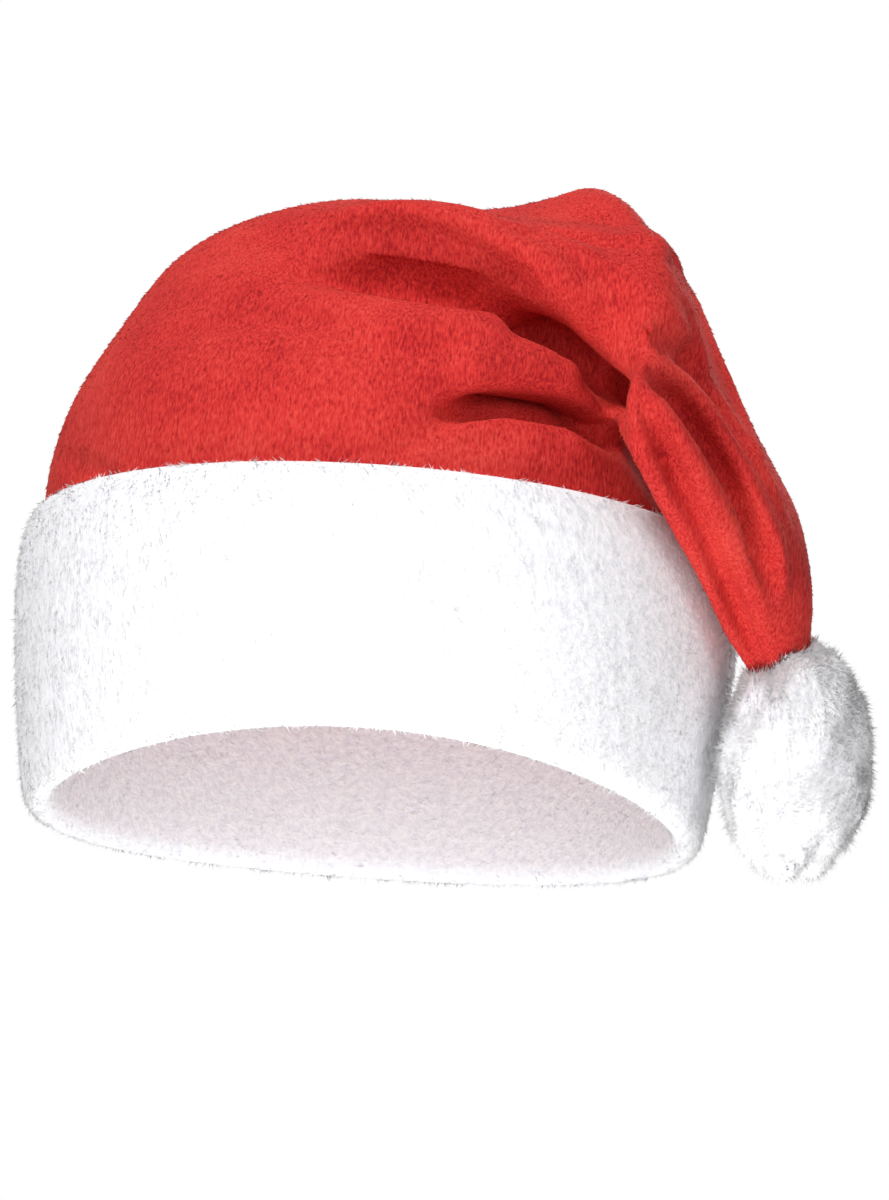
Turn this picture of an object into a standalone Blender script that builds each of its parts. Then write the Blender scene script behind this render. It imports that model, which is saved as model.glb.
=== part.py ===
import math

import bpy
import numpy as np

# Sizes in metres. +X is the side that the tail hangs on, -Y the wearer's front, +Z up.
# The origin is the middle of the head opening, level with the rim at its sides.

# Head opening, between the inner faces of the brim
openingWidth = 0.190
openingDepth = 0.200

# Brim: a padded plush cuff that stands taller at the sides than in front
brimSideHeight = 0.091
brimThickness = 0.0173
hemThickness = 0.0106
hemRadius = 0.0085
rimFrontHeight = 0.0116
rimBackHeight = 0.0057
seamDropHeight = 0.0016

# Crown: one plush wall, its lower edge tucked into the brim
seamOffset = 0.0105
crownWall = 0.0022
tuckDepth = 0.008
crownHeight = 0.127
peakDistance = 0.080
tailDistance = 0.030
tailDropHeight = 0.044
tailSwingDepth = 0.060

# Folds pressed into the crown
pocketDepth = 0.024
slitDepth = 0.011
grooveDepth = 0.006
wrinkleDepth = 0.0022
foldWidth = 0.010
# The cloth's lowest part above the brim, where the folds die out
plainEdgeHeight = 0.007
# A fold moves the cloth within this many rows of the section table
foldRows = 2.2

# Pompom
pompomWidth = 0.046
pompomLength = 0.0735
lockHeight = 0.0042
tipInsertLength = 0.009
clearance = 0.0003

# Around each section: this many points over the front half and over the back half
frontPoints = 30
backPoints = 18

# How far along the crown each ring of the mesh lies, in rows of the section table.
# The rings are close together where the slit and the pocket open.
ringSteps = (
    (0.0, 1.5, 2),
    (1.5, 3.0, 5),
    (3.0, 6.6, 13),
    (6.6, 12.0, 9),
    (12.0, 18.0, 9),
)

# Sections from the seam over the dome, through the bend and down the tail. Each one is a
# closed loop between its outer edge and its inner edge, bulging to the front and the back.
# x: share of the crown's half width at the seam, plus "peak" times the peak's reach and "far"
#    times the tail's
# z: share of the crown's rise above the seam, less "down" times the tail's drop
# y: share of the tail's forward swing, to the front negative
# front, back: share of the crown's half depth at the seam; where the tail folds over the dome,
#    its back is pressed in past the line between the section's edges, and is negative
# aim: degrees that the bulge is turned from the front towards the right
sectionColumns = (
    "outX", "outZ", "outY", "inX", "inZ", "inY", "peak", "far", "down", "front", "back", "aim"
)
sections = (
    (-1.00, 0.00, 0.00, 1.00, 0.00, 0.00, 0.00, 0.00, 0.00, 1.00, 1.00, 0),
    (-1.00, 0.13, 0.00, 0.99, 0.04, 0.00, 0.00, 0.00, 0.00, 0.99, 0.99, 0),
    (-0.94, 0.30, 0.00, 0.95, 0.09, 0.00, 0.00, 0.00, 0.00, 0.97, 0.96, 0),
    (-0.83, 0.47, 0.00, 0.92, 0.13, 0.00, 0.00, 0.00, 0.00, 0.93, 0.91, 0),
    (-0.69, 0.65, 0.00, 0.89, 0.17, 0.00, 0.00, 0.00, 0.00, 0.89, 0.84, 0),
    (-0.60, 0.76, 0.00, 0.75, 0.20, 0.00, 0.15, 0.00, 0.00, 0.85, 0.78, 0),
    (-0.47, 0.82, 0.00, 0.60, 0.23, -0.03, 0.32, 0.00, 0.00, 0.81, 0.71, 0),
    (-0.33, 0.82, 0.07, 0.44, 0.25, -0.22, 0.50, 0.00, 0.00, 0.78, 0.63, 0),
    (-0.21, 0.87, 0.27, 0.30, 0.28, -0.50, 0.68, 0.00, 0.00, 0.71, 0.54, 0),
    (-0.10, 0.98, 0.43, 0.16, 0.33, -0.87, 0.85, 0.00, 0.00, 0.60, 0.24, 0),
    (-0.07, 0.89, 0.43, -0.01, 0.37, -1.35, 1.00, 0.00, 0.00, 0.48, 0.03, 0),
    (0.08, 0.77, 0.28, -0.11, 0.21, -1.62, 1.00, 0.00, 0.00, 0.36, -0.11, 2),
    (0.13, 0.60, 0.03, -0.10, 0.12, -1.63, 1.00, 0.15, 0.10, 0.29, -0.11, 5),
    (0.18, 0.47, -0.20, -0.09, 0.11, -1.60, 1.00, 0.30, 0.25, 0.23, -0.06, 10),
    (0.22, 0.37, -0.40, -0.06, 0.10, -1.47, 1.00, 0.45, 0.40, 0.18, -0.02, 14),
    (0.26, 0.29, -0.53, -0.04, 0.08, -1.32, 1.00, 0.60, 0.55, 0.16, 0.03, 18),
    (0.25, 0.23, -0.60, -0.03, 0.06, -1.10, 1.00, 0.75, 0.70, 0.14, 0.07, 22),
    (0.24, 0.16, -0.63, -0.01, 0.05, -0.88, 1.00, 0.90, 0.85, 0.13, 0.11, 15),
    (0.21, 0.13, -0.63, 0.07, 0.00, -0.68, 1.00, 1.00, 1.00, 0.10, 0.10, 5),
)

# Folds, each along a line on the crown through a start, a middle and an end. A line's point
# is a row of the section table and an angle round the section, with 90 degrees in front.
# deep: share of the depth that the fold is measured by, negative where it stands proud
# below, above: how far it runs out on either side, as shares of the fold width
# lean: how far the cloth above hangs over the fold, as a share of the fold width
# narrow: share of its width that the fold still has at its end
# crisp: share of the lower side that slopes straight up to a sharp lip
foldColumns = (
    "row0", "turn0", "row1", "turn1", "row2", "turn2", "deep", "below", "above", "lean", "narrow",
    "crisp"
)
folds = {
    "mainPocket": (pocketDepth, (4.2, 62, 5.6, 94, 5.8, 124, 1.25, 1.8, 0.6, 0.9, 0.7, 0.8)),
    "pocketLip": (grooveDepth, (3.3, 66, 4.2, 101, 3.0, 130, -0.4, 0.8, 0.5, 0.0, 1.0, 0.0)),
    "pocketShade": (wrinkleDepth, (3.9, 36, 4.5, 62, 4.8, 84, 2.0, 1.6, 1.2, 0.0, 1.0, 0.0)),
    "roll": (grooveDepth, (5.2, 52, 7.1, 80, 8.0, 112, -1.5, 1.0, 1.2, 0.0, 0.8, 0.0)),
    "bendSeat": (pocketDepth, (6.4, 130, 7.4, 146, 8.4, 164, 0.40, 2.4, 2.2, 0.0, 1.0, 0.0)),
    "behindRoll": (grooveDepth, (7.8, 46, 8.8, 70, 9.8, 86, 1.1, 1.0, 1.3, 0.0, 0.8, 0.0)),
    "panelFacet": (grooveDepth, (8.2, 14, 9.3, 26, 10.2, 34, 0.4, 1.0, 1.0, 0.0, 1.0, 0.0)),
    "slit": (slitDepth, (1.6, 99, 2.2, 110, 2.7, 134, 0.9, 0.9, 0.55, 0.3, 0.8, 0.0)),
    "slitLip": (slitDepth, (1.0, 104, 1.4, 116, 1.8, 130, -0.25, 0.9, 0.7, 0.0, 1.0, 0.0)),
    "tailGroove": (grooveDepth, (11.4, 108, 14.6, 107, 17.4, 97, 1.5, 0.7, 0.7, 0.0, 0.7, 0.0)),
    "tailSeam": (grooveDepth, (11.4, 142, 14.5, 149, 17.6, 144, 1.3, 0.5, 0.5, 0.0, 0.9, 0.0)),
    "tailRoll": (grooveDepth, (12.0, 81, 14.4, 72, 17.0, 78, -0.8, 0.9, 0.9, 0.0, 1.0, 0.0)),
    "tailStrand": (grooveDepth, (11.8, 125, 15.0, 131, 17.6, 122, -0.7, 0.6, 0.6, 0.0, 1.0, 0.0)),
    "tailSeat": (pocketDepth, (1.2, 152, 3.0, 146, 5.6, 148, 0.25, 2.0, 2.2, 0.0, 1.0, 0.0)),
    "leftDent": (wrinkleDepth, (0.9, 18, 0.7, 30, 0.3, 44, 1.0, 0.9, 0.9, 0.0, 1.0, 0.0)),
    "sideCrease": (wrinkleDepth, (3.3, 22, 3.1, 50, 3.1, 86, 0.9, 1.1, 0.9, 0.0, 1.0, 0.0)),
    "frontSway": (wrinkleDepth, (2.2, 88, 1.5, 100, 0.8, 110, 1.0, 1.1, 1.1, 0.0, 1.0, 0.0)),
    "backFold": (wrinkleDepth, (4.6, 300, 5.6, 262, 6.4, 226, 2.6, 1.6, 1.4, 0.0, 1.0, 0.0)),
    "backFoldLow": (wrinkleDepth, (2.6, 285, 3.2, 250, 4.0, 214, 1.8, 1.4, 1.3, 0.0, 1.0, 0.0)),
    "backSway": (wrinkleDepth, (1.4, 325, 1.7, 300, 1.5, 270, 1.2, 1.2, 1.2, 0.0, 1.0, 0.0)),
}

# Brim section from the hem up the inner face, round the slot for the crown and down outside.
# out: share of the brim's thickness, up: share of its height
brimColumns = ("out", "up")
brimInside = (
    (-0.050, 0.25),
    (-0.060, 0.50),
    (0.040, 0.74),
    (0.200, 0.90),
    (0.300, 1.00),
)
brimOutside = (
    (0.800, 1.005),
    (0.920, 0.955),
    (0.990, 0.860),
    (1.000, 0.740),
    (0.900, 0.490),
    (0.750, 0.250),
)
# Hem: an arc under the brim from its inner face round to its outer one, in degrees
hemAngles = (188, 214, 242, 270, 298, 326, 352)

pi = math.pi
half = {"x": openingWidth / 2 + seamOffset, "y": openingDepth / 2 + seamOffset}


def turns():
    front = [pi * k / frontPoints for k in range(frontPoints)]
    back = [pi + pi * k / backPoints for k in range(backPoints)]
    return np.array(front + back)


def seamLevel(turn):
    front = np.maximum(np.sin(turn), 0.0)
    return brimSideHeight - seamDropHeight * front**2


def rimLevel(turn):
    front = np.maximum(np.sin(turn), 0.0)
    back = np.maximum(-np.sin(turn), 0.0)
    return rimFrontHeight * front**2 + rimBackHeight * back**2


def sectionAt(row):
    # A Catmull-Rom curve through the rows of the section table
    table = np.array(sections)
    last = len(table) - 1
    i = int(min(max(math.floor(row), 0), last - 1))
    f = row - i
    p1, p2 = table[i], table[i + 1]
    p0 = table[i - 1] if i > 0 else 2 * p1 - p2
    p3 = table[i + 2] if i + 2 <= last else 2 * p2 - p1
    value = 0.5 * (
        2 * p1
        + (p2 - p0) * f
        + (2 * p0 - 5 * p1 + 4 * p2 - p3) * f * f
        + (3 * p1 - p0 - 3 * p2 + p3) * f**3
    )
    return dict(zip(sectionColumns, value))


def crownPoint(row, turn):
    s = sectionAt(row)
    shift = peakDistance * s["peak"] + tailDistance * s["far"]
    drop = tailDropHeight * s["down"]
    outer = np.array(
        (
            half["x"] * s["outX"] + shift,
            tailSwingDepth * s["outY"],
            brimSideHeight + crownHeight * s["outZ"] - drop,
        )
    )
    inner = np.array(
        (
            half["x"] * s["inX"] + shift,
            tailSwingDepth * s["inY"],
            brimSideHeight + crownHeight * s["inZ"] - drop,
        )
    )
    middle = (outer + inner) / 2
    point = middle + math.cos(turn) * (outer - middle)
    depth = s["front"] if math.sin(turn) > 0 else s["back"]
    aim = math.radians(s["aim"])
    bulge = half["y"] * depth * math.sin(turn)
    point[0] += bulge * math.sin(aim)
    point[1] -= bulge * math.cos(aim)
    low = max(0.0, 1.0 - row / 2.0)
    point[2] += low * (seamLevel(turn) - brimSideHeight)
    return point


def gridNormals(grid):
    along = np.gradient(grid, axis=0)
    around = (np.roll(grid, -1, axis=1) - np.roll(grid, 1, axis=1)) / 2
    normal = np.cross(around, along)
    return normal / np.maximum(np.linalg.norm(normal, axis=2, keepdims=True), 1e-12)


def easeOut(x):
    return np.where(x < 1.0, (1.0 - np.clip(x, 0.0, 1.0) ** 2) ** 2, 0.0)


def pressFolds(grid, normals, rows):
    moved = np.zeros_like(grid)
    rows = np.array(rows)[:, None]
    for size, values in folds.values():
        fold = dict(zip(foldColumns, values))
        steps = np.linspace(0.0, 1.0, 41)
        ends = (fold["row0"], fold["turn0"]), (fold["row1"], fold["turn1"]), (fold["row2"], fold["turn2"])
        line, lineRows = [], []
        for u in steps:
            weights = (2 * (u - 0.5) * (u - 1), 4 * u * (1 - u), 2 * u * (u - 0.5))
            row = sum(w * e[0] for w, e in zip(weights, ends))
            turn = sum(w * e[1] for w, e in zip(weights, ends))
            line.append(crownPoint(row, math.radians(turn)))
            lineRows.append(row)
        line, lineRows = np.array(line), np.array(lineRows)
        tangent = np.gradient(line, axis=0)
        tangent /= np.linalg.norm(tangent, axis=1, keepdims=True)
        apart = grid[:, :, None, :] - line[None, None, :, :]
        far = np.linalg.norm(apart, axis=3)
        near = far.argmin(axis=2)
        apart = np.take_along_axis(apart, near[:, :, None, None], axis=2)[:, :, 0, :]
        along = tangent[near]
        up = np.cross(normals, along)
        side = (apart * up).sum(axis=2)
        beyond = np.abs((apart * along).sum(axis=2))
        width = np.where(side > 0, fold["above"], fold["below"]) * foldWidth
        width = width * (1 - (1 - fold["narrow"]) * steps[near])
        across = np.linalg.norm(apart, axis=2) / width
        # Each fold dies out towards its two ends.
        taper = np.sin(pi * np.clip(steps[near] * 0.86 + 0.07, 0.0, 1.0)) ** 0.7
        # Cloth that only hangs near the fold, such as the tail over the dome, isn't pressed.
        same = np.clip((foldRows - np.abs(rows - lineRows[near])) / (0.4 * foldRows), 0.0, 1.0)
        straight = np.where(side < 0, fold["crisp"], 0.0)
        amount = (1 - straight) * easeOut(across) + straight * np.clip(1 - across, 0.0, 1.0)
        amount = amount * taper * same
        moved -= normals * (amount * size * fold["deep"])[:, :, None]
        if fold["lean"]:
            hang = easeOut(np.abs(side - 0.8 * width) / (1.3 * width)) * (side > 0)
            hang *= easeOut(beyond / width) * taper * same
            moved -= up * (hang * fold["lean"] * foldWidth)[:, :, None]
            moved += normals * (hang * 0.25 * fold["lean"] * foldWidth)[:, :, None]
    return grid + moved


def material(name, colour, rough):
    made = bpy.data.materials.new(name)
    made.use_nodes = True
    shader = made.node_tree.nodes["Principled BSDF"]
    shader.inputs["Base Color"].default_value = colour
    shader.inputs["Roughness"].default_value = rough
    shader.inputs["Metallic"].default_value = 0.0
    return made


def loftMesh(name, rings, closed=False, tip=None):
    # rings: rows of points, each row closed on itself; tip closes the last row to one point
    count, width = len(rings), len(rings[0])
    points = [tuple(p) for ring in rings for p in ring]
    faces = []
    for i in range(count if closed else count - 1):
        for j in range(width):
            a = i * width + j
            b = i * width + (j + 1) % width
            c = (i + 1) % count * width + (j + 1) % width
            d = (i + 1) % count * width + j
            faces.append((a, b, c, d))
    if tip is not None:
        points.append(tuple(tip))
        last = (count - 1) * width
        for j in range(width):
            faces.append((last + j, last + (j + 1) % width, len(points) - 1))
    mesh = bpy.data.meshes.new(name)
    mesh.from_pydata(points, [], faces)
    mesh.update()
    mesh.shade_smooth()
    return mesh


def ringRows():
    rows = []
    for start, end, steps in ringSteps:
        rows += [start + (end - start) * k / steps for k in range(steps)]
    return rows + [ringSteps[-1][1]]


def tailEnd(grow=0.0):
    # The last rings of the tail, past its last section, rounded to a point
    last = np.array([crownPoint(len(sections) - 1, t) for t in turns()])
    before = np.array([crownPoint(len(sections) - 1.6, t) for t in turns()])
    centre = last.mean(axis=0)
    heading = centre - before.mean(axis=0)
    heading /= np.linalg.norm(heading)
    radius = np.linalg.norm(last - centre, axis=1).mean()
    scale = 1 + grow / radius
    rings = []
    for share, size in ((0.0, 1.0), (0.45, 0.97), (0.80, 0.74), (0.96, 0.40)):
        swell = heading * (tipInsertLength * share + grow * (share > 0.5))
        rings.append(centre + (last - centre) * size * scale + swell)
    return rings, centre + heading * (tipInsertLength + grow), heading


def crownGrid():
    rows = ringRows()
    plain = np.array([[crownPoint(r, t) for t in turns()] for r in rows])
    folded = pressFolds(plain, gridNormals(plain), rows)
    # The folds leave the edge that enters the brim as it was.
    ease = np.clip((plain[:, :, 2:] - plain[:1, :, 2:]) / plainEdgeHeight, 0.0, 1.0)
    return plain + (folded - plain) * ease


def buildCrown(grid):
    seam = grid[0]
    tuck = []
    for share in (1.0, 0.5):
        ring = seam.copy()
        ring[:, 2] -= tuckDepth * share
        tuck.append(ring)
    ends, tip, heading = tailEnd()
    rings = tuck + list(grid) + ends[1:]
    mesh = loftMesh("crown", rings, tip=tip)
    crown = bpy.data.objects.new("crown", mesh)
    wall = crown.modifiers.new("wall", "SOLIDIFY")
    wall.thickness = crownWall
    wall.offset = -1.0
    wall.use_even_offset = False
    return crown


def brimProfile(turn):
    # (out from the inner face, height) round the brim's section at this angle
    low = rimLevel(turn)
    high = seamLevel(turn)
    tall = high - low
    inner = seamOffset - crownWall - clearance
    outer = seamOffset + clearance
    points = []
    middle = hemThickness / 2
    for angle in hemAngles:
        a = math.radians(angle)
        points.append((middle + middle * math.cos(a), low + hemRadius * (1 + math.sin(a))))
    inside = [(o * brimThickness, low + u * tall) for o, u in brimInside]
    slot = [
        (inner, high),
        (inner, high - tuckDepth - clearance),
        (outer, high - tuckDepth - clearance),
        (outer, high),
    ]
    outside = [(o * brimThickness, low + u * tall) for o, u in brimOutside]
    return inside + slot + outside + points[::-1]


def buildBrim():
    rings = []
    angles = turns()
    for turn in angles:
        ring = []
        for out, up in brimProfile(turn):
            x = -(openingWidth / 2 + out) * math.cos(turn)
            y = -(openingDepth / 2 + out) * math.sin(turn)
            ring.append((x, y, up))
        rings.append(ring)
    mesh = loftMesh("brim", rings, closed=True)
    brim = bpy.data.objects.new("brim", mesh)
    return brim


def lockSeeds(count):
    k = np.arange(count) + 0.5
    polar = np.arccos(1 - 2 * k / count)
    swirl = pi * (1 + 5**0.5) * k
    return np.stack(
        (np.cos(swirl) * np.sin(polar), np.sin(swirl) * np.sin(polar), np.cos(polar)), 1
    )


def buildPompom(tip, heading):
    # A round head with rounded locks standing out of it, each leaning down a little
    rings, around = 23, 24
    seeds = lockSeeds(46)
    reach = math.sqrt(4 * pi / len(seeds)) * 0.60
    size = np.array((pompomWidth / 2, pompomWidth / 2, pompomLength / 2)) - lockHeight * 0.55
    centre = tip + np.array((0.10, -0.02, -1.0)) * (pompomLength / 2 - tipInsertLength * 1.6)
    rows = []
    for i in range(1, rings):
        polar = pi * i / rings
        row = []
        for j in range(around):
            swirl = 2 * pi * (j + 0.5 * (i % 2)) / around
            way = np.array(
                (math.cos(swirl) * math.sin(polar), math.sin(swirl) * math.sin(polar), math.cos(polar))
            )
            away = np.arccos(np.clip(seeds @ way, -1, 1))
            lock = int(away.argmin())
            rise = max(0.0, 1.0 - (away[lock] / reach) ** 2)
            vary = 0.75 + 0.5 * ((lock * 0.618) % 1.0)
            point = way * size + way * lockHeight * (rise * vary)
            point[2] -= 0.35 * lockHeight * rise * math.sin(polar)
            row.append(centre + point)
        rows.append(row)
    top = centre + np.array((0, 0, size[2]))
    bottom = centre - np.array((0, 0, size[2] + lockHeight * 0.5))
    mesh = loftMesh("pompom", rows, tip=bottom)
    points = [tuple(v.co) for v in mesh.vertices] + [tuple(top)]
    faces = [tuple(p.vertices) for p in mesh.polygons]
    faces += [((j + 1) % around, j, len(points) - 1) for j in range(around)]
    whole = bpy.data.meshes.new("pompom")
    whole.from_pydata(points, [], [f[::-1] for f in faces])
    whole.update()
    whole.shade_smooth()
    return bpy.data.objects.new("pompom", whole)


def main():
    for old in list(bpy.data.objects):
        bpy.data.objects.remove(old, do_unlink=True)
    hat = bpy.data.collections.new("santa_hat")
    cutters = bpy.data.collections.new("cutters")
    bpy.context.scene.collection.children.link(hat)
    bpy.context.scene.collection.children.link(cutters)

    red = material("red plush", (0.72, 0.03, 0.02, 1), 0.9)
    white = material("white plush", (0.9, 0.9, 0.92, 1), 0.95)
    pile = material("white pile", (0.92, 0.92, 0.93, 1), 0.95)

    grid = crownGrid()
    crown = buildCrown(grid)
    brim = buildBrim()
    ends, tip, heading = tailEnd()
    pompom = buildPompom(tip, heading)
    for obj, look in ((crown, red), (brim, white), (pompom, pile)):
        obj.data.materials.append(look)
        hat.objects.link(obj)

    # The socket follows the tail's last rings and its end, with a clearance all round.
    grown, grownTip, heading = tailEnd(clearance * 1.5)
    start = []
    for ring in grid[-5:-1]:
        centre = ring.mean(axis=0)
        radius = np.linalg.norm(ring - centre, axis=1).mean()
        start.append(centre + (ring - centre) * (1 + clearance * 2 / radius))
    centre = start[0].mean(axis=0)
    cutMesh = loftMesh("tail_socket", start + grown, tip=grownTip)
    points = [tuple(v.co) for v in cutMesh.vertices] + [tuple(centre)]
    faces = [tuple(p.vertices) for p in cutMesh.polygons]
    width = len(start[0])
    faces += [((j + 1) % width, j, len(points) - 1) for j in range(width)]
    cutMesh = bpy.data.meshes.new("tail_socket")
    cutMesh.from_pydata(points, [], faces)
    cutMesh.update()
    socket = bpy.data.objects.new("tail_socket", cutMesh)
    socket.hide_render = True
    socket.display_type = "WIRE"
    cutters.objects.link(socket)
    cut = pompom.modifiers.new("socket", "BOOLEAN")
    cut.operation = "DIFFERENCE"
    cut.object = socket


main()
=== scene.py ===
import math

import bmesh
import bpy
import numpy as np
from mathutils import Matrix, Vector
from mathutils.bvhtree import BVHTree


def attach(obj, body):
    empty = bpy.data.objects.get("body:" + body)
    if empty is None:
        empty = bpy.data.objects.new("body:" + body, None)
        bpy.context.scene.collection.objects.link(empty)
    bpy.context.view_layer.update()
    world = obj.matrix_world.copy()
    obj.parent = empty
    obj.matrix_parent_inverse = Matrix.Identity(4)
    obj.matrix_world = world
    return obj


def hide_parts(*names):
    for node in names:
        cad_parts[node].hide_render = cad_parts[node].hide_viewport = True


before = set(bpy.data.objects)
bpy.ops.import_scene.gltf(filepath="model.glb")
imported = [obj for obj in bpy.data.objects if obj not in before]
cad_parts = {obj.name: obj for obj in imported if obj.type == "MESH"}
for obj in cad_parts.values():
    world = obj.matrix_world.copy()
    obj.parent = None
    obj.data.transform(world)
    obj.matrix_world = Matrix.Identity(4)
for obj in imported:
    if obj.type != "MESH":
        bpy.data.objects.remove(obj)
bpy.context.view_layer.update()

# Photo frame, and the camera that its outlines fit: under the brim, looking up at the hat
photo = {"width": 889, "height": 1200}
view = {
    "target": (0.0205, 0.0, 0.076),  # m
    "distance": 2.0,  # m
    "below": 13.0,  # degrees under the hat's level
    "roll": 4.0,  # degrees
    "lens": 193.2,  # mm
    "sensor": 36.0,  # mm
    "clipEnd": 50,  # m
}


def linear(hexColour):
    # An sRGB colour as linear values with full alpha, by the usual sRGB curve
    parts = [int(hexColour[k:k + 2], 16) / 255 for k in (1, 3, 5)]
    return tuple(p / 12.92 if p <= 0.04045 else ((p + 0.055) / 1.055) ** 2.4 for p in parts) + (1.0,)


def addNode(tree, kind, settings=None, values=None, links=None):
    # One node with its settings, its input values and what is plugged into it
    node = tree.nodes.new(kind)
    for name, value in (settings or {}).items():
        setattr(node, name, value)
    for name, value in (values or {}).items():
        node.inputs[name].default_value = value
    for name, source in (links or {}).items():
        tree.links.new(source, node.inputs[name])
    return node


def setSockets(shader, values):
    for name, value in values.items():
        shader.inputs[name].default_value = value


def deselectAll():
    if bpy.context.object and bpy.context.object.mode != "OBJECT":
        bpy.ops.object.mode_set(mode="OBJECT")
    bpy.ops.object.select_all(action="DESELECT")


def makeActive(obj):
    deselectAll()
    obj.select_set(True)
    bpy.context.view_layer.objects.active = obj


def cameraAxes():
    low = math.radians(view["below"])
    turn = math.radians(view["roll"])
    right = Vector((1, 0, 0))
    ahead = Vector((0, math.cos(low), math.sin(low)))
    up = right.cross(ahead)
    rolledRight = right * math.cos(turn) + up * math.sin(turn)
    rolledUp = up * math.cos(turn) - right * math.sin(turn)
    return rolledRight, rolledUp, ahead


def placeCamera():
    right, up, ahead = cameraAxes()
    data = bpy.data.cameras.new("photoCamera")
    data.lens = view["lens"]
    data.sensor_width = view["sensor"]
    data.sensor_fit = "AUTO"
    data.clip_end = view["clipEnd"]
    camera = bpy.data.objects.new("photoCamera", data)
    bpy.context.scene.collection.objects.link(camera)
    matrix = Matrix((right, up, -ahead)).transposed().to_4x4()
    matrix.translation = Vector(view["target"]) - ahead * view["distance"]
    camera.matrix_world = matrix
    bpy.context.scene.camera = camera


def photoRay(x, y):
    # From the camera through a pixel of the photo
    right, up, ahead = cameraAxes()
    focal = view["lens"] / view["sensor"] * photo["height"]
    across = (x - photo["width"] / 2) / focal
    over = (photo["height"] / 2 - y) / focal
    start = Vector(view["target"]) - ahead * view["distance"]
    return start, (ahead + right * across + up * over).normalized()


placeCamera()
deselectAll()
print("camera placed")

meshing = {
    "merge": 0.00002,  # m
    "quadAngle": 60,  # degrees
    "lineStep": 4.0,  # pixels between the points of a line on the photo
    "easePull": 0.6,  # share of the way to the neighbours' middle in one round
}
creaseForm = {
    "endShift": 0.05,  # share of the line by which the fall to nothing lies past its ends
    "endRise": 1.6,  # how fast the depth comes in from the ends
    "facingRise": 2.5,  # how fast it comes in on faces that look the way the line does
}


def copyNode(nodeName, pieceName):
    # A CAD node's mesh as a new piece, its loose triangles merged and turned back into quads
    piece = bpy.data.objects.new(pieceName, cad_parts[nodeName].data.copy())
    piece.data.name = pieceName
    piece.data.materials.clear()
    bpy.context.scene.collection.objects.link(piece)
    makeActive(piece)
    angle = math.radians(meshing["quadAngle"])
    bpy.ops.object.mode_set(mode="EDIT")
    bpy.ops.mesh.select_all(action="SELECT")
    bpy.ops.mesh.remove_doubles(threshold=meshing["merge"])
    bpy.ops.mesh.tris_convert_to_quads(face_threshold=angle, shape_threshold=angle)
    bpy.ops.object.mode_set(mode="OBJECT")
    return piece


def applyModifier(piece, kind, name, **settings):
    modifier = piece.modifiers.new(name, kind)
    for key, value in settings.items():
        setattr(modifier, key, value)
    makeActive(piece)
    bpy.ops.object.modifier_apply(modifier=name)


def smooth(piece, levels):
    applyModifier(piece, "SUBSURF", "smooth", levels=levels, render_levels=levels)


def meshArrays(mesh):
    points = np.empty(len(mesh.vertices) * 3)
    mesh.vertices.foreach_get("co", points)
    normals = np.empty(len(mesh.vertices) * 3)
    mesh.vertices.foreach_get("normal", normals)
    return points.reshape(-1, 3), normals.reshape(-1, 3)


def setPoints(mesh, points):
    mesh.vertices.foreach_set("co", points.ravel())
    mesh.update()


def photoTree(piece):
    # The piece's faces, made ready for rays and nearest points
    return BVHTree.FromPolygons(
        [v.co[:] for v in piece.data.vertices], [p.vertices[:] for p in piece.data.polygons]
    )


def surfaceLine(tree, pixels):
    # Points and normals on the piece under a line drawn on the photo
    places, normals = [], []
    for (x0, y0), (x1, y1) in zip(pixels, pixels[1:]):
        steps = max(1, int(math.hypot(x1 - x0, y1 - y0) / meshing["lineStep"]))
        for k in range(steps):
            f = k / steps
            hit, normal, _, _ = tree.ray_cast(*photoRay(x0 + (x1 - x0) * f, y0 + (y1 - y0) * f))
            if hit is not None:
                places.append(hit[:])
                normals.append(normal[:])
    return np.array(places), np.array(normals)


def pressLine(points, normals, line, facing, depth, width):
    # Presses points in by depth near the line, dying out at its ends; negative stands proud
    if len(line) < 2:
        return np.zeros_like(points)
    low, high = line.min(axis=0) - width, line.max(axis=0) + width
    near = np.where(((points > low) & (points < high)).all(axis=1))[0]
    apart = np.linalg.norm(points[near][:, None, :] - line[None, :, :], axis=2)
    closest = apart.argmin(axis=1)
    share = np.clip(apart[np.arange(len(near)), closest] / width, 0, 1)
    along = closest / max(1, len(line) - 1)
    shift = creaseForm["endShift"]
    ends = np.clip(np.sin(np.pi * (along * (1 - 2 * shift) + shift)) * creaseForm["endRise"], 0, 1)
    faces = (normals[near] * facing[closest]).sum(axis=1)
    amount = (1 - share**2) ** 2 * ends * np.clip(faces * creaseForm["facingRise"], 0, 1)
    moved = np.zeros_like(points)
    moved[near] = -normals[near] * (amount * depth)[:, None]
    return moved


# What all the pile has in common; each piece's own values stand with the piece
fibreForm = {
    "nap": (0.0, 0.0, -1.0),  # brushed downwards
    "waves": 8,  # that make up the swirl
    "waveSpread": 2.2,  # of the waves' number over the swirl's size
    "lengthLimits": (-0.6, 0.8),  # shares of the length that a fibre may differ by
    "thinnest": 0.7,  # share of the width, and how much more the widest has
    "widthRange": 0.6,
}


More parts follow.
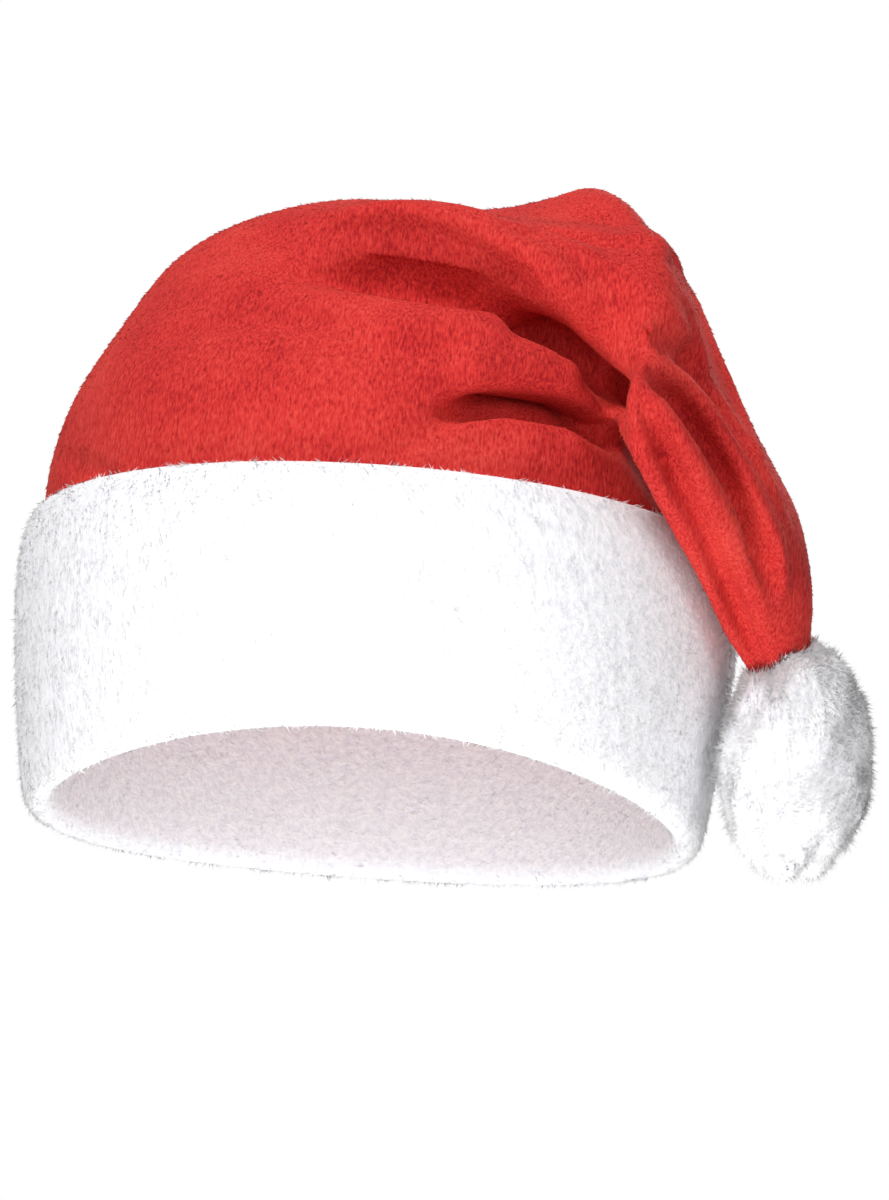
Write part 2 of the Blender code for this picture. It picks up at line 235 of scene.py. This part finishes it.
def faceSamples(piece, count, seed, keep=None):
    # Random points spread evenly over the piece's faces, with smooth normals
    mesh = piece.data
    mesh.calc_loop_triangles()
    corners = np.empty(len(mesh.loop_triangles) * 3, np.int32)
    mesh.loop_triangles.foreach_get("vertices", corners)
    corners = corners.reshape(-1, 3)
    points, normals = meshArrays(mesh)
    if keep is not None:
        corners = corners[keep(points[corners].mean(axis=1), normals[corners].mean(axis=1))]
    a, b, c = (points[corners[:, k]] for k in range(3))
    area = np.linalg.norm(np.cross(b - a, c - a), axis=1)
    dice = np.random.default_rng(seed)
    chosen = dice.choice(len(corners), count, p=area / area.sum())
    u, v = dice.random(count), dice.random(count)
    over = u + v > 1
    u[over], v[over] = 1 - u[over], 1 - v[over]
    weights = np.stack((1 - u - v, u, v), 1)[:, :, None]
    place = (points[corners[chosen]] * weights).sum(axis=1)
    normal = (normals[corners[chosen]] * weights).sum(axis=1)
    normal /= np.linalg.norm(normal, axis=1, keepdims=True)
    return place, normal, dice


def unit(vectors):
    return vectors / np.maximum(np.linalg.norm(vectors, axis=-1, keepdims=True), 1e-12)


def swirl(place, size, dice):
    # A soft field of directions that changes over the given size, so that fibres lie in tufts
    field = np.zeros_like(place)
    for _ in range(fibreForm["waves"]):
        wave = dice.normal(0, fibreForm["waveSpread"] / size, 3)
        field += np.sin(place @ wave + dice.uniform(0, 2 * math.pi))[:, None] * unit(dice.normal(size=3))
    return field


def growPile(name, place, normal, look, dice):
    # Thin closed fibres with three sides, each leaning along the nap; look is the piece's dictionary
    count = len(place)
    nap = np.array(fibreForm["nap"]) + swirl(place, look["swirlSize"], dice) * look["swirl"]
    flat = unit(nap - normal * (nap * normal).sum(axis=1, keepdims=True))
    lean = math.radians(look["lean"]) + dice.normal(0, math.radians(look["leanSpread"]), count)
    spread = dice.normal(0, math.radians(look["turnSpread"]), count)
    side = np.cross(normal, flat)
    flat = flat * np.cos(spread)[:, None] + side * np.sin(spread)[:, None]
    way = unit(normal * np.cos(lean)[:, None] + flat * np.sin(lean)[:, None])
    longer = dice.normal(0, look["lengthSpread"], count).clip(*fibreForm["lengthLimits"])
    length = look["length"] * (1 + longer)
    wide = look["width"] / 2 * (fibreForm["thinnest"] + fibreForm["widthRange"] * dice.random(count))
    across = unit(np.cross(way, dice.normal(size=(count, 3))))
    third = np.cross(way, across)
    root = place - normal * (look["sink"] * look["length"])
    corners = []
    for k in range(3):
        angle = 2 * math.pi * k / 3
        corners.append(root + (across * math.cos(angle) + third * math.sin(angle)) * wide[:, None])
    tip = root + way * length[:, None]
    points = np.stack(corners + [tip], 1).reshape(-1, 3)
    first = (np.arange(count) * 4)[:, None, None]
    faces = first + np.array(((0, 2, 1), (0, 1, 3), (1, 2, 3), (2, 0, 3)))[None]
    faces = faces.reshape(-1, 3)
    mesh = bpy.data.meshes.new(name)
    mesh.vertices.add(len(points))
    mesh.vertices.foreach_set("co", points.ravel())
    mesh.loops.add(len(faces) * 3)
    mesh.loops.foreach_set("vertex_index", faces.ravel().astype(np.int32))
    mesh.polygons.add(len(faces))
    mesh.polygons.foreach_set("loop_start", np.arange(len(faces), dtype=np.int32) * 3)
    mesh.update(calc_edges=True)
    mesh.shade_smooth()
    # Each fibre's root gets 0 and its tip 1, from which the materials paint light on the tips and shade at
    # the roots.
    paintedTipLight = mesh.attributes.new("paintedTipLight", "FLOAT", "POINT")
    paintedTipLight.data.foreach_set("value", np.tile((0.0, 0.0, 0.0, 1.0), count))
    fibreShade = mesh.attributes.new("fibreShade", "FLOAT", "POINT")
    fibreShade.data.foreach_set("value", np.repeat(dice.random(count), 4))
    # The pile is lit as the soft surface that it stands on.
    mesh.normals_split_custom_set_from_vertices(np.repeat(normal, 4, axis=0))
    piece = bpy.data.objects.new(name, mesh)
    bpy.context.scene.collection.objects.link(piece)
    return piece


def coverWithPile(name, ground, look, count, seed, material, keep=None):
    place, normal, dice = faceSamples(ground, count, seed, keep)
    pile = growPile(name, place, normal, look, dice)
    pile.data.materials.append(material)
    return pile


def newMaterial(name):
    material = bpy.data.materials.new(name)
    material.use_nodes = True
    tree = material.node_tree
    return material, tree, tree.nodes["Principled BSDF"]


redPlush = {
    "light": "#DC4A40",
    "base": "#CB2E2B",
    "deep": "#A0141B",
    "groundStops": {"deep": 0.40, "base": 0.58, "light": 0.80},  # where each colour lies in the tone
    "pileStops": {"deep": 0.50, "base": 0.76, "light": 1.0},
    # Tufts of the pile, drawn coarser than its real fibres so that they show
    "streakLength": 0.0026,  # m, down the hat, along the nap
    "streakWidth": 0.0007,
    "streakShare": 0.80,
    "patch": 0.030,  # m, where the pile is brushed a little more or less
    "patchShare": 0.35,
    # How much painted light the fibre tips get, with painted shade at the roots
    "paintedTipLight": 0.22,
    "fibreShare": 0.2,
    "bumpStrength": 0.6,
    "bumpHeight": 0.0006,  # m
    "shader": {
        "Roughness": 0.85,
        "Specular IOR Level": 0.2,
        "Sheen Weight": 0.15,
        "Sheen Roughness": 0.5,
        "Sheen Tint": linear("#FF7060"),
    },
}


def redPlushMaterial(name, forPile):
    # Polyester velboa: a knitted ground with a short dense pile, brushed one way. The pile shades
    # in short streaks, and shows a soft bright edge where it is seen from the side.
    material, tree, shader = newMaterial(name)
    place = addNode(tree, "ShaderNodeTexCoord").outputs["Object"]
    across = 1 / redPlush["streakWidth"]
    along = 1 / redPlush["streakLength"]
    laid = addNode(
        tree, "ShaderNodeMapping", values={"Scale": (across, across, along)}, links={"Vector": place}
    )
    streak = addNode(
        tree,
        "ShaderNodeTexNoise",
        values={"Scale": 1.0, "Detail": 2.0, "Roughness": 0.6},
        links={"Vector": laid.outputs["Vector"]},
    ).outputs["Fac"]
    patch = addNode(
        tree,
        "ShaderNodeTexNoise",
        values={"Scale": 1 / redPlush["patch"], "Detail": 3.0},
        links={"Vector": place},
    ).outputs["Fac"]
    tone = addNode(
        tree, "ShaderNodeMath", {"operation": "MULTIPLY"}, {1: redPlush["patchShare"]}, {0: patch}
    ).outputs["Value"]
    parts = [(streak, redPlush["streakShare"])]
    if forPile:
        # The pile gets painted light towards each fibre's tip and painted shade at its root, and a tone that
        # differs at random from fibre to fibre.
        for attribute, share in (("paintedTipLight", redPlush["paintedTipLight"]), ("fibreShade", redPlush["fibreShare"])):
            source = addNode(tree, "ShaderNodeAttribute", {"attribute_name": attribute})
            parts.append((source.outputs["Fac"], share))
    for part, share in parts:
        tone = addNode(
            tree, "ShaderNodeMath", {"operation": "MULTIPLY_ADD"}, {1: share}, {0: part, 2: tone}
        ).outputs["Value"]
    stops = redPlush["pileStops"] if forPile else redPlush["groundStops"]
    ramp = addNode(tree, "ShaderNodeValToRGB", links={"Fac": tone})
    elements = ramp.color_ramp.elements
    elements[0].position = stops["deep"]
    elements[0].color = linear(redPlush["deep"])
    elements[1].position = stops["light"]
    elements[1].color = linear(redPlush["light"])
    elements.new(stops["base"]).color = linear(redPlush["base"])
    tree.links.new(ramp.outputs["Color"], shader.inputs["Base Color"])
    setSockets(shader, redPlush["shader"])
    if not forPile:
        bump = addNode(
            tree,
            "ShaderNodeBump",
            values={"Strength": redPlush["bumpStrength"], "Distance": redPlush["bumpHeight"]},
            links={"Height": streak},
        )
        tree.links.new(bump.outputs["Normal"], shader.inputs["Normal"])
    return material


whitePlush = {
    "light": "#FFFFFF",
    "deep": "#E6E6EE",
    "stops": {"deep": 0.25, "light": 0.75},
    "grain": 0.0022,  # m, tufts of the pile
    # How much painted light the fibre tips get, with painted shade at the roots
    "paintedTipLight": 0.35,
    "bumpStrength": 0.5,
    "bumpHeight": 0.0008,  # m
    "shader": {
        "Roughness": 0.9,
        "Specular IOR Level": 0.15,
        "Sheen Weight": 0.3,
        "Sheen Roughness": 0.6,
    },
}


def whitePlushMaterial(name, forPile):
    # White faux fur: a dense polyester pile some millimetres long, matt, hardly shaded in itself.
    material, tree, shader = newMaterial(name)
    place = addNode(tree, "ShaderNodeTexCoord").outputs["Object"]
    grain = addNode(
        tree,
        "ShaderNodeTexNoise",
        values={"Scale": 1 / whitePlush["grain"], "Detail": 3.0, "Roughness": 0.6},
        links={"Vector": place},
    ).outputs["Fac"]
    tone = grain
    if forPile:
        # Painted light towards each fibre's tip and painted shade at its root
        tip = addNode(tree, "ShaderNodeAttribute", {"attribute_name": "paintedTipLight"}).outputs["Fac"]
        tone = addNode(
            tree,
            "ShaderNodeMath",
            {"operation": "MULTIPLY_ADD"},
            {1: whitePlush["paintedTipLight"]},
            {0: tip, 2: grain},
        ).outputs["Value"]
    ramp = addNode(tree, "ShaderNodeValToRGB", links={"Fac": tone})
    for element, colour in zip(ramp.color_ramp.elements, ("deep", "light")):
        element.position = whitePlush["stops"][colour]
        element.color = linear(whitePlush[colour])
    tree.links.new(ramp.outputs["Color"], shader.inputs["Base Color"])
    setSockets(shader, whitePlush["shader"])
    if not forPile:
        bump = addNode(
            tree,
            "ShaderNodeBump",
            values={"Strength": whitePlush["bumpStrength"], "Distance": whitePlush["bumpHeight"]},
            links={"Height": grain},
        )
        tree.links.new(bump.outputs["Normal"], shader.inputs["Normal"])
    return material


crownLook = {
    "levels": 2,  # of smoothing
    "wall": 0.0020,  # m
    # The tucked lower edge lies below this height and inside this radius, in metres, and faces down.
    "tuckHeight": 0.105,
    "tuckRadius": 0.115,
    "tuckFacing": -0.6,
    "voxel": 0.0016,  # m
    "lidReach": 1.3,  # voxels from the lid within which the even skin is cut away again
    "triangles": 88000,  # of the outer face
    "evenRounds": 7,  # of smoothing for the even skin
    # How tubes of cloth are laid: pixels from point to point, rounds in which their depth is
    # evened, how round they are, how thin at their ends and how fast they thicken from there
    "strandForm": {"step": 8, "rounds": 10, "roundness": 4, "thinEnd": 0.4, "rise": 8},
    # Rolls and strands of the cloth: their middle on the photo in pixels, then in metres the
    # radius at the start, the middle and the end, and how far each stands proud
    "strands": {
        "roll": (
            (
                (330, 216), (400, 217), (455, 229), (508, 255), (557, 288), (600, 323), (645, 362),
                (693, 412), (736, 478), (768, 545), (787, 605),
            ),
            (0.0050, 0.0078, 0.0058),
            0.0030,
        ),
        "bendPanel": (
            ((636, 232), (650, 262), (662, 300), (684, 345), (706, 385)),
            (0.0060, 0.0085, 0.0050),
            0.0012,
        ),
        "foldEdge": (
            ((676, 258), (694, 300), (716, 360), (742, 420), (766, 475)),
            (0.0025, 0.0034, 0.0025),
            0.0005,
        ),
        "bendPatch": (
            ((618, 278), (640, 298), (656, 318), (672, 338), (690, 358)),
            (0.0060, 0.0095, 0.0060),
            0.0048,
        ),
        "strandTwo": (
            ((655, 402), (692, 465), (728, 535), (755, 598), (768, 640)),
            (0.0040, 0.0058, 0.0040),
            0.0016,
        ),
        "strandOne": (
            ((619, 404), (634, 436), (660, 488), (700, 562), (733, 628), (753, 672)),
            (0.0040, 0.0036, 0.0028),
            0.0022,
        ),
    },
    # Lines on the photo in pixels, with their reach in metres and the rounds of smoothing, before
    # the creases are pressed in
    "eased": {
        "overTheBend": (((668, 235), (660, 275), (654, 315), (648, 335)), 0.020, 90),
        "lipLeft": (((385, 296), (430, 300), (470, 306)), 0.012, 40),
        "slitEnd": (((470, 408), (520, 408), (580, 422)), 0.008, 12),
    },
    # The same after it
    "softened": {
        "rollUnderside": (((410, 254), (450, 262), (495, 280)), 0.009, 24),
        "bendLeft": (((634, 296), (637, 318), (641, 338)), 0.013, 30),
        "bendRight": (((670, 294), (674, 318), (678, 340)), 0.013, 30),
        "pocketSide": (((500, 318), (535, 330)), 0.006, 8),
    },
    # Far side of the tail's fold, where the cloth is thinner than the even skin's mesh
    "foldBack": {
        "place": (0.105, 0.005, 0.155),  # m
        "reach": 0.058,
        "rounds": 45,
        "evenness": 0.25,  # power of the fall from the place outwards; smaller is more even
        "facingRise": 2,
        "facingShift": 0.7,  # how far the smoothing reaches round to the camera's side
    },
    # Lines on the photo in pixels, with depth and width in metres; negative stands proud
    "creases": {
        "pocket": (((340, 246), (400, 251), (450, 263), (500, 285), (540, 312)), 0.0064, 0.017),
        "pocketFloor": (((350, 280), (400, 290), (450, 297), (490, 306)), 0.0046, 0.014),
        "pocketEnd": (((530, 318), (560, 348), (588, 384)), 0.0065, 0.011),
        "behindRoll": (
            ((500, 214), (560, 240), (612, 285), (655, 325), (700, 378), (745, 445)), 0.0028, 0.007
        ),
        "pocketLip": (
            ((330, 326), (390, 330), (456, 326), (504, 324), (530, 326), (557, 356), (582, 396)),
            -0.0038,
            0.009,
        ),
        "lobe": (((450, 368), (500, 362), (545, 372), (580, 400)), -0.0050, 0.013),
        "slit": (((450, 411), (500, 403), (560, 412), (616, 437)), 0.0100, 0.0068),
        "slitCore": (((470, 407), (510, 404), (560, 413), (608, 433)), 0.0070, 0.0036),
        "slitLip": (((440, 430), (500, 426), (560, 436), (600, 452)), -0.0028, 0.007),
        "peakCorner": (((560, 199), (586, 192), (612, 206)), -0.0012, 0.010),
        "panelCorner": (((650, 240), (668, 254), (678, 274)), -0.0030, 0.009),
        "seam": (
            ((640, 402), (657, 432), (680, 485), (705, 535), (729, 592), (752, 648), (763, 680)),
            0.0052,
            0.0042,
        ),
        "strandGroove": (((650, 374), (680, 402), (712, 452), (748, 520), (775, 582)), 0.0075, 0.0058),
        "backPanel": (((500, 222), (544, 228), (596, 241), (648, 244), (675, 252)), 0.0022, 0.005),
        "frontWrinkle": (((150, 338), (230, 322), (310, 322), (400, 336)), 0.0014, 0.007),
        "lowWrinkle": (((380, 452), (430, 432), (480, 392)), 0.0012, 0.007),
        "leftDent": (((62, 462), (95, 470), (125, 492)), 0.0016, 0.006),
    },
    # After the creases: points that moved farther than this, in metres, are eased this much
    "creaseEase": {"over": 0.0001, "pull": 0.7, "rounds": 2},
}
crownPileLook = {
    "count": 44000,
    "seed": 5,
    "length": 0.0014,  # m
    "lengthSpread": 0.25,
    "width": 0.00045,  # m, far coarser than a real fibre, so that it shows
    "lean": 70,  # degrees from upright, with the spread of the lean and of the turn
    "leanSpread": 8,
    "turnSpread": 22,
    "sink": 0.2,  # share of the length that stands in the ground
    "swirl": 0.3,
    "swirlSize": 0.012,  # m
}


def outerSkin(piece):
    # Keeps only the outer face of the crown's wall: the faces joined to its highest point
    mesh = bmesh.new()
    mesh.from_mesh(piece.data)
    edgeFaces = []
    for face in mesh.faces:
        middle = face.calc_center_median()
        inside = math.hypot(middle.x, middle.y) < crownLook["tuckRadius"]
        below = middle.z < crownLook["tuckHeight"]
        if inside and below and face.normal.z < crownLook["tuckFacing"]:
            edgeFaces.append(face)
    print("tucked edge", len(edgeFaces))
    # The cut along the tucked edge parts the outer face from the inner one.
    bmesh.ops.delete(mesh, geom=edgeFaces, context="FACES_ONLY")
    top = max(mesh.verts, key=lambda v: v.co.z)
    kept, queue = {top}, [top]
    while queue:
        vertex = queue.pop()
        for edge in vertex.link_edges:
            other = edge.other_vert(vertex)
            if other not in kept and edge.link_faces:
                kept.add(other)
                queue.append(other)
    bmesh.ops.delete(mesh, geom=[v for v in mesh.verts if v not in kept], context="VERTS")
    mesh.to_mesh(piece.data)
    mesh.free()


def addStrand(name, tree, pixels, radii, proud):
    # A tube of cloth along a line on the photo, just under the piece's face and evened in depth
    form = crownLook["strandForm"]
    rays, depths = [], []
    for (x0, y0), (x1, y1) in zip(pixels, pixels[1:]):
        steps = max(1, int(math.hypot(x1 - x0, y1 - y0) / form["step"]))
        for k in range(steps):
            start, way = photoRay(x0 + (x1 - x0) * k / steps, y0 + (y1 - y0) * k / steps)
            hit, _, _, distance = tree.ray_cast(start, way)
            if hit is not None:
                rays.append((start, way))
                depths.append(distance)
    depths = np.array(depths)
    for _ in range(form["rounds"]):
        depths[1:-1] = (depths[:-2] + 2 * depths[1:-1] + depths[2:]) / 4
    curve = bpy.data.curves.new(name, "CURVE")
    curve.dimensions = "3D"
    curve.bevel_depth = 1.0
    curve.bevel_resolution = form["roundness"]
    curve.use_fill_caps = True
    spline = curve.splines.new("POLY")
    spline.points.add(len(rays) - 1)
    for k, ((start, way), depth) in enumerate(zip(rays, depths)):
        share = k / (len(rays) - 1)
        fromEnd = min(share, 1 - share)
        radius = np.interp(share, (0.0, 0.5, 1.0), radii) * min(1.0, form["thinEnd"] + form["rise"] * fromEnd)
        spline.points[k].co = (*(start + way * (depth + radius - proud)), 1.0)
        spline.points[k].radius = radius
    strand = bpy.data.objects.new(name, curve)
    bpy.context.scene.collection.objects.link(strand)
    makeActive(strand)
    bpy.ops.object.convert(target="MESH")
    return bpy.context.object


def evenSkin(piece, strands):
    # One even skin of small quads, with what lies hidden in the bend gone, open below as before.
    # Its only opening, the tucked edge, gets a lid for the remesh and loses it after.
    mesh = bmesh.new()
    mesh.from_mesh(piece.data)
    rim = [e for e in mesh.edges if e.is_boundary]
    # A dictionary, not a set, keeps the order, so that the sum is the same in each run.
    ends = dict.fromkeys(v for e in rim for v in e.verts)
    middle = mesh.verts.new(sum((v.co for v in ends), Vector()) / len(ends))
    lidPoints = []
    for edge in rim:
        face = mesh.faces.new((edge.verts[0], edge.verts[1], middle))
        lidPoints.extend(v.co.copy() for v in face.verts)
    bmesh.ops.recalc_face_normals(mesh, faces=mesh.faces)
    mesh.to_mesh(piece.data)
    mesh.free()
    makeActive(piece)
    for strand in strands:
        strand.select_set(True)
    bpy.ops.object.join()
    applyModifier(piece, "REMESH", "even", mode="VOXEL", voxel_size=crownLook["voxel"], adaptivity=0.0)
    lidTree = BVHTree.FromPolygons(lidPoints, [(k, k + 1, k + 2) for k in range(0, len(lidPoints), 3)])
    reach = crownLook["voxel"] * crownLook["lidReach"]
    mesh = bmesh.new()
    mesh.from_mesh(piece.data)
    lid = [v for v in mesh.verts if lidTree.find_nearest(v.co, reach)[0] is not None]
    bmesh.ops.delete(mesh, geom=lid, context="VERTS")
    mesh.to_mesh(piece.data)
    mesh.free()


def easePoints(mesh, points, weights, rounds):
    # Draws each point towards the middle of its neighbours, by its weight
    ends = np.empty(len(mesh.edges) * 2, np.int32)
    mesh.edges.foreach_get("vertices", ends)
    first, second = ends[0::2], ends[1::2]
    count = np.bincount(ends, minlength=len(points))[:, None]
    for _ in range(rounds):
        total = np.zeros_like(points)
        for axis in range(3):
            total[:, axis] = np.bincount(first, points[second, axis], len(points))
            total[:, axis] += np.bincount(second, points[first, axis], len(points))
        points = points + (total / np.maximum(count, 1) - points) * weights[:, None] * meshing["easePull"]
    return points


def nearLine(points, line, reach):
    # 1 on the line, falling to 0 at its reach
    weights = np.zeros(len(points))
    low, high = line.min(axis=0) - reach, line.max(axis=0) + reach
    near = np.where(((points > low) & (points < high)).all(axis=1))[0]
    apart = np.linalg.norm(points[near][:, None, :] - line[None, :, :], axis=2).min(axis=1)
    weights[near] = np.clip(1 - (apart / reach) ** 2, 0, 1) ** 2
    return weights


def easeLines(piece, lines):
    for pixels, reach, rounds in lines.values():
        points = meshArrays(piece.data)[0]
        line = surfaceLine(photoTree(piece), pixels)[0]
        setPoints(piece.data, easePoints(piece.data, points, nearLine(points, line, reach), rounds))


def pressCreases(piece):
    points, normals = meshArrays(piece.data)
    tree = photoTree(piece)
    moved = np.zeros_like(points)
    for pixels, depth, width in crownLook["creases"].values():
        line, facing = surfaceLine(tree, pixels)
        moved += pressLine(points, normals, line, facing, depth, width)
    ease = crownLook["creaseEase"]
    touched = (np.linalg.norm(moved, axis=1) > ease["over"]) * ease["pull"]
    setPoints(piece.data, easePoints(piece.data, points + moved, touched, ease["rounds"]))


def easeFoldBack(piece, look):
    # Evens the cloth round a place, on the side that faces away from the camera
    points, normals = meshArrays(piece.data)
    away = np.clip(normals @ np.array(cameraAxes()[2]) * look["facingRise"] + look["facingShift"], 0, 1)
    weights = nearLine(points, np.array([look["place"]]), look["reach"]) ** look["evenness"] * away
    setPoints(piece.data, easePoints(piece.data, points, weights, look["rounds"]))


def buildCrown():
    crown = copyNode("crown", "crownCloth")
    outerSkin(crown)
    smooth(crown, crownLook["levels"])
    tree = photoTree(crown)
    strands = [addStrand(name, tree, *values) for name, values in crownLook["strands"].items()]
    evenSkin(crown, strands)
    print("crown skin", len(crown.data.polygons))
    points = meshArrays(crown.data)[0]
    setPoints(crown.data, easePoints(crown.data, points, np.ones(len(points)), crownLook["evenRounds"]))
    easeLines(crown, crownLook["eased"])
    pressCreases(crown)
    easeLines(crown, crownLook["softened"])
    easeFoldBack(crown, crownLook["foldBack"])
    return crown


crownCloth = buildCrown()
redGround = redPlushMaterial("red velboa, knitted ground", False)
redPile = redPlushMaterial("red velboa, brushed pile", True)
crownCloth.data.materials.append(redGround)
crownCloth.data.shade_smooth()
crownPile = coverWithPile(
    "crownPile", crownCloth, crownPileLook, crownPileLook["count"], crownPileLook["seed"], redPile
)
share = crownLook["triangles"] / (2 * len(crownCloth.data.polygons))
applyModifier(crownCloth, "DECIMATE", "fewer", ratio=min(1.0, share))
applyModifier(crownCloth, "SOLIDIFY", "wall", thickness=crownLook["wall"], offset=-1.0, use_even_offset=False)
print("crown made", len(crownCloth.data.polygons), len(crownPile.data.polygons))

brimLook = {
    "levels": 2,  # of smoothing
    # Fibres and seed of each part of the pile
    "piles": {"brimPileFront": (46000, 11), "brimPileBack": (30000, 12), "brimPileInside": (26000, 13)},
    "behind": 0.02,  # m, where the back part starts
    "outward": -0.2,  # outer faces look away from the middle by more than this share
    "length": 0.0023,  # m
    "lengthSpread": 0.3,
    "width": 0.00045,
    "lean": 64,  # degrees
    "leanSpread": 10,
    "turnSpread": 18,
    "sink": 0.3,
    "swirl": 0.7,
    "swirlSize": 0.009,  # m
}


def outside(middle, facing):
    return (facing[:, :2] * unit(middle[:, :2])).sum(axis=1) > brimLook["outward"]


brimSides = {
    "brimPileFront": lambda middle, facing: outside(middle, facing) & (middle[:, 1] < brimLook["behind"]),
    "brimPileBack": lambda middle, facing: outside(middle, facing) & (middle[:, 1] >= brimLook["behind"]),
    "brimPileInside": lambda middle, facing: ~outside(middle, facing),
}
brimCuff = copyNode("brim", "brimCuff")
smooth(brimCuff, brimLook["levels"])
brimCuff.data.shade_smooth()
whiteGround = whitePlushMaterial("white faux fur, backing", False)
whitePile = whitePlushMaterial("white faux fur, pile", True)
brimCuff.data.materials.append(whiteGround)
brimPieces = []
for name, (count, seed) in brimLook["piles"].items():
    brimPieces.append(coverWithPile(name, brimCuff, brimLook, count, seed, whitePile, brimSides[name]))
print("brim made")

pompomLook = {
    "levels": 1,  # of smoothing
    "count": 40000,
    "seed": 21,
    "length": 0.0028,  # m
    "lengthSpread": 0.35,
    "width": 0.00045,
    "lean": 42,  # degrees
    "leanSpread": 14,
    "turnSpread": 25,
    "sink": 0.4,
    "swirl": 1.0,
    "swirlSize": 0.008,  # m
}
pompomHead = copyNode("pompom", "pompomHead")
smooth(pompomHead, pompomLook["levels"])
pompomHead.data.shade_smooth()
pompomHead.data.materials.append(whiteGround)
pompomPile = coverWithPile(
    "pompomPile", pompomHead, pompomLook, pompomLook["count"], pompomLook["seed"], whitePile
)
print("pompom made")

for piece in (crownCloth, crownPile, brimCuff, *brimPieces, pompomHead, pompomPile):
    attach(piece, "root")
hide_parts("crown")
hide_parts("brim")
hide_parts("pompom")

studio = {
    "floor": -1.2,  # m, well below the hat
    "floorSize": 12,  # m
    "paint": "#F4F4F4",
    "roughness": 0.9,
    "world": 0.32,  # strength of the white light from all round
    "backdrop": 1.0,  # and how bright the camera sees it
    # Place and target in metres, size in metres and power in watts
    "lights": {
        "keyLight": ((-0.85, -1.2, 1.7), (0, 0, 0.1), 0.6, 35),
        "fillLight": ((1.4, -1.2, 0.3), (0, 0, 0.1), 1.2, 6),
        "frontLight": ((-0.3, -1.9, 0.2), (0, 0, 0.05), 0.9, 7),
        "backLight": ((0.7, 1.7, 1.0), (0, 0, 0.1), 1.0, 14),
        "insideLight": ((0.0, -0.3, -0.38), (0, 0.1, 0.04), 0.25, 2.0),
    },
}


def areaLight(name, place, target, size, power):
    data = bpy.data.lights.new(name, "AREA")
    data.shape = "SQUARE"
    data.size = size
    data.energy = power
    lamp = bpy.data.objects.new(name, data)
    bpy.context.scene.collection.objects.link(lamp)
    lamp.location = place
    lamp.rotation_euler = (Vector(target) - Vector(place)).to_track_quat("-Z", "Y").to_euler()


def lightWorld():
    # The hat is lit by a soft white world, and the camera sees a brighter one behind it
    world = bpy.data.worlds.new("studio")
    bpy.context.scene.world = world
    world.use_nodes = True
    tree = world.node_tree
    white = (1, 1, 1, 1)
    background = tree.nodes["Background"]
    setSockets(background, {"Color": white, "Strength": studio["world"]})
    seen = addNode(tree, "ShaderNodeBackground", values={"Color": white, "Strength": studio["backdrop"]})
    path = addNode(tree, "ShaderNodeLightPath")
    mix = addNode(
        tree,
        "ShaderNodeMixShader",
        links={0: path.outputs["Is Camera Ray"], 1: background.outputs[0], 2: seen.outputs[0]},
    )
    tree.links.new(mix.outputs[0], tree.nodes["World Output"].inputs[0])
    bpy.context.scene.view_settings.view_transform = "Standard"


deselectAll()
bpy.ops.mesh.primitive_plane_add(size=studio["floorSize"], location=(0, 0, studio["floor"]))
floor = bpy.context.object
floor.name = "floor"
floorPaint, _, floorShader = newMaterial("matt white studio floor")
setSockets(floorShader, {"Base Color": linear(studio["paint"]), "Roughness": studio["roughness"]})
floor.data.materials.append(floorPaint)
for name, (place, target, size, power) in studio["lights"].items():
    areaLight(name, place, target, size, power)
lightWorld()

print("studio made")
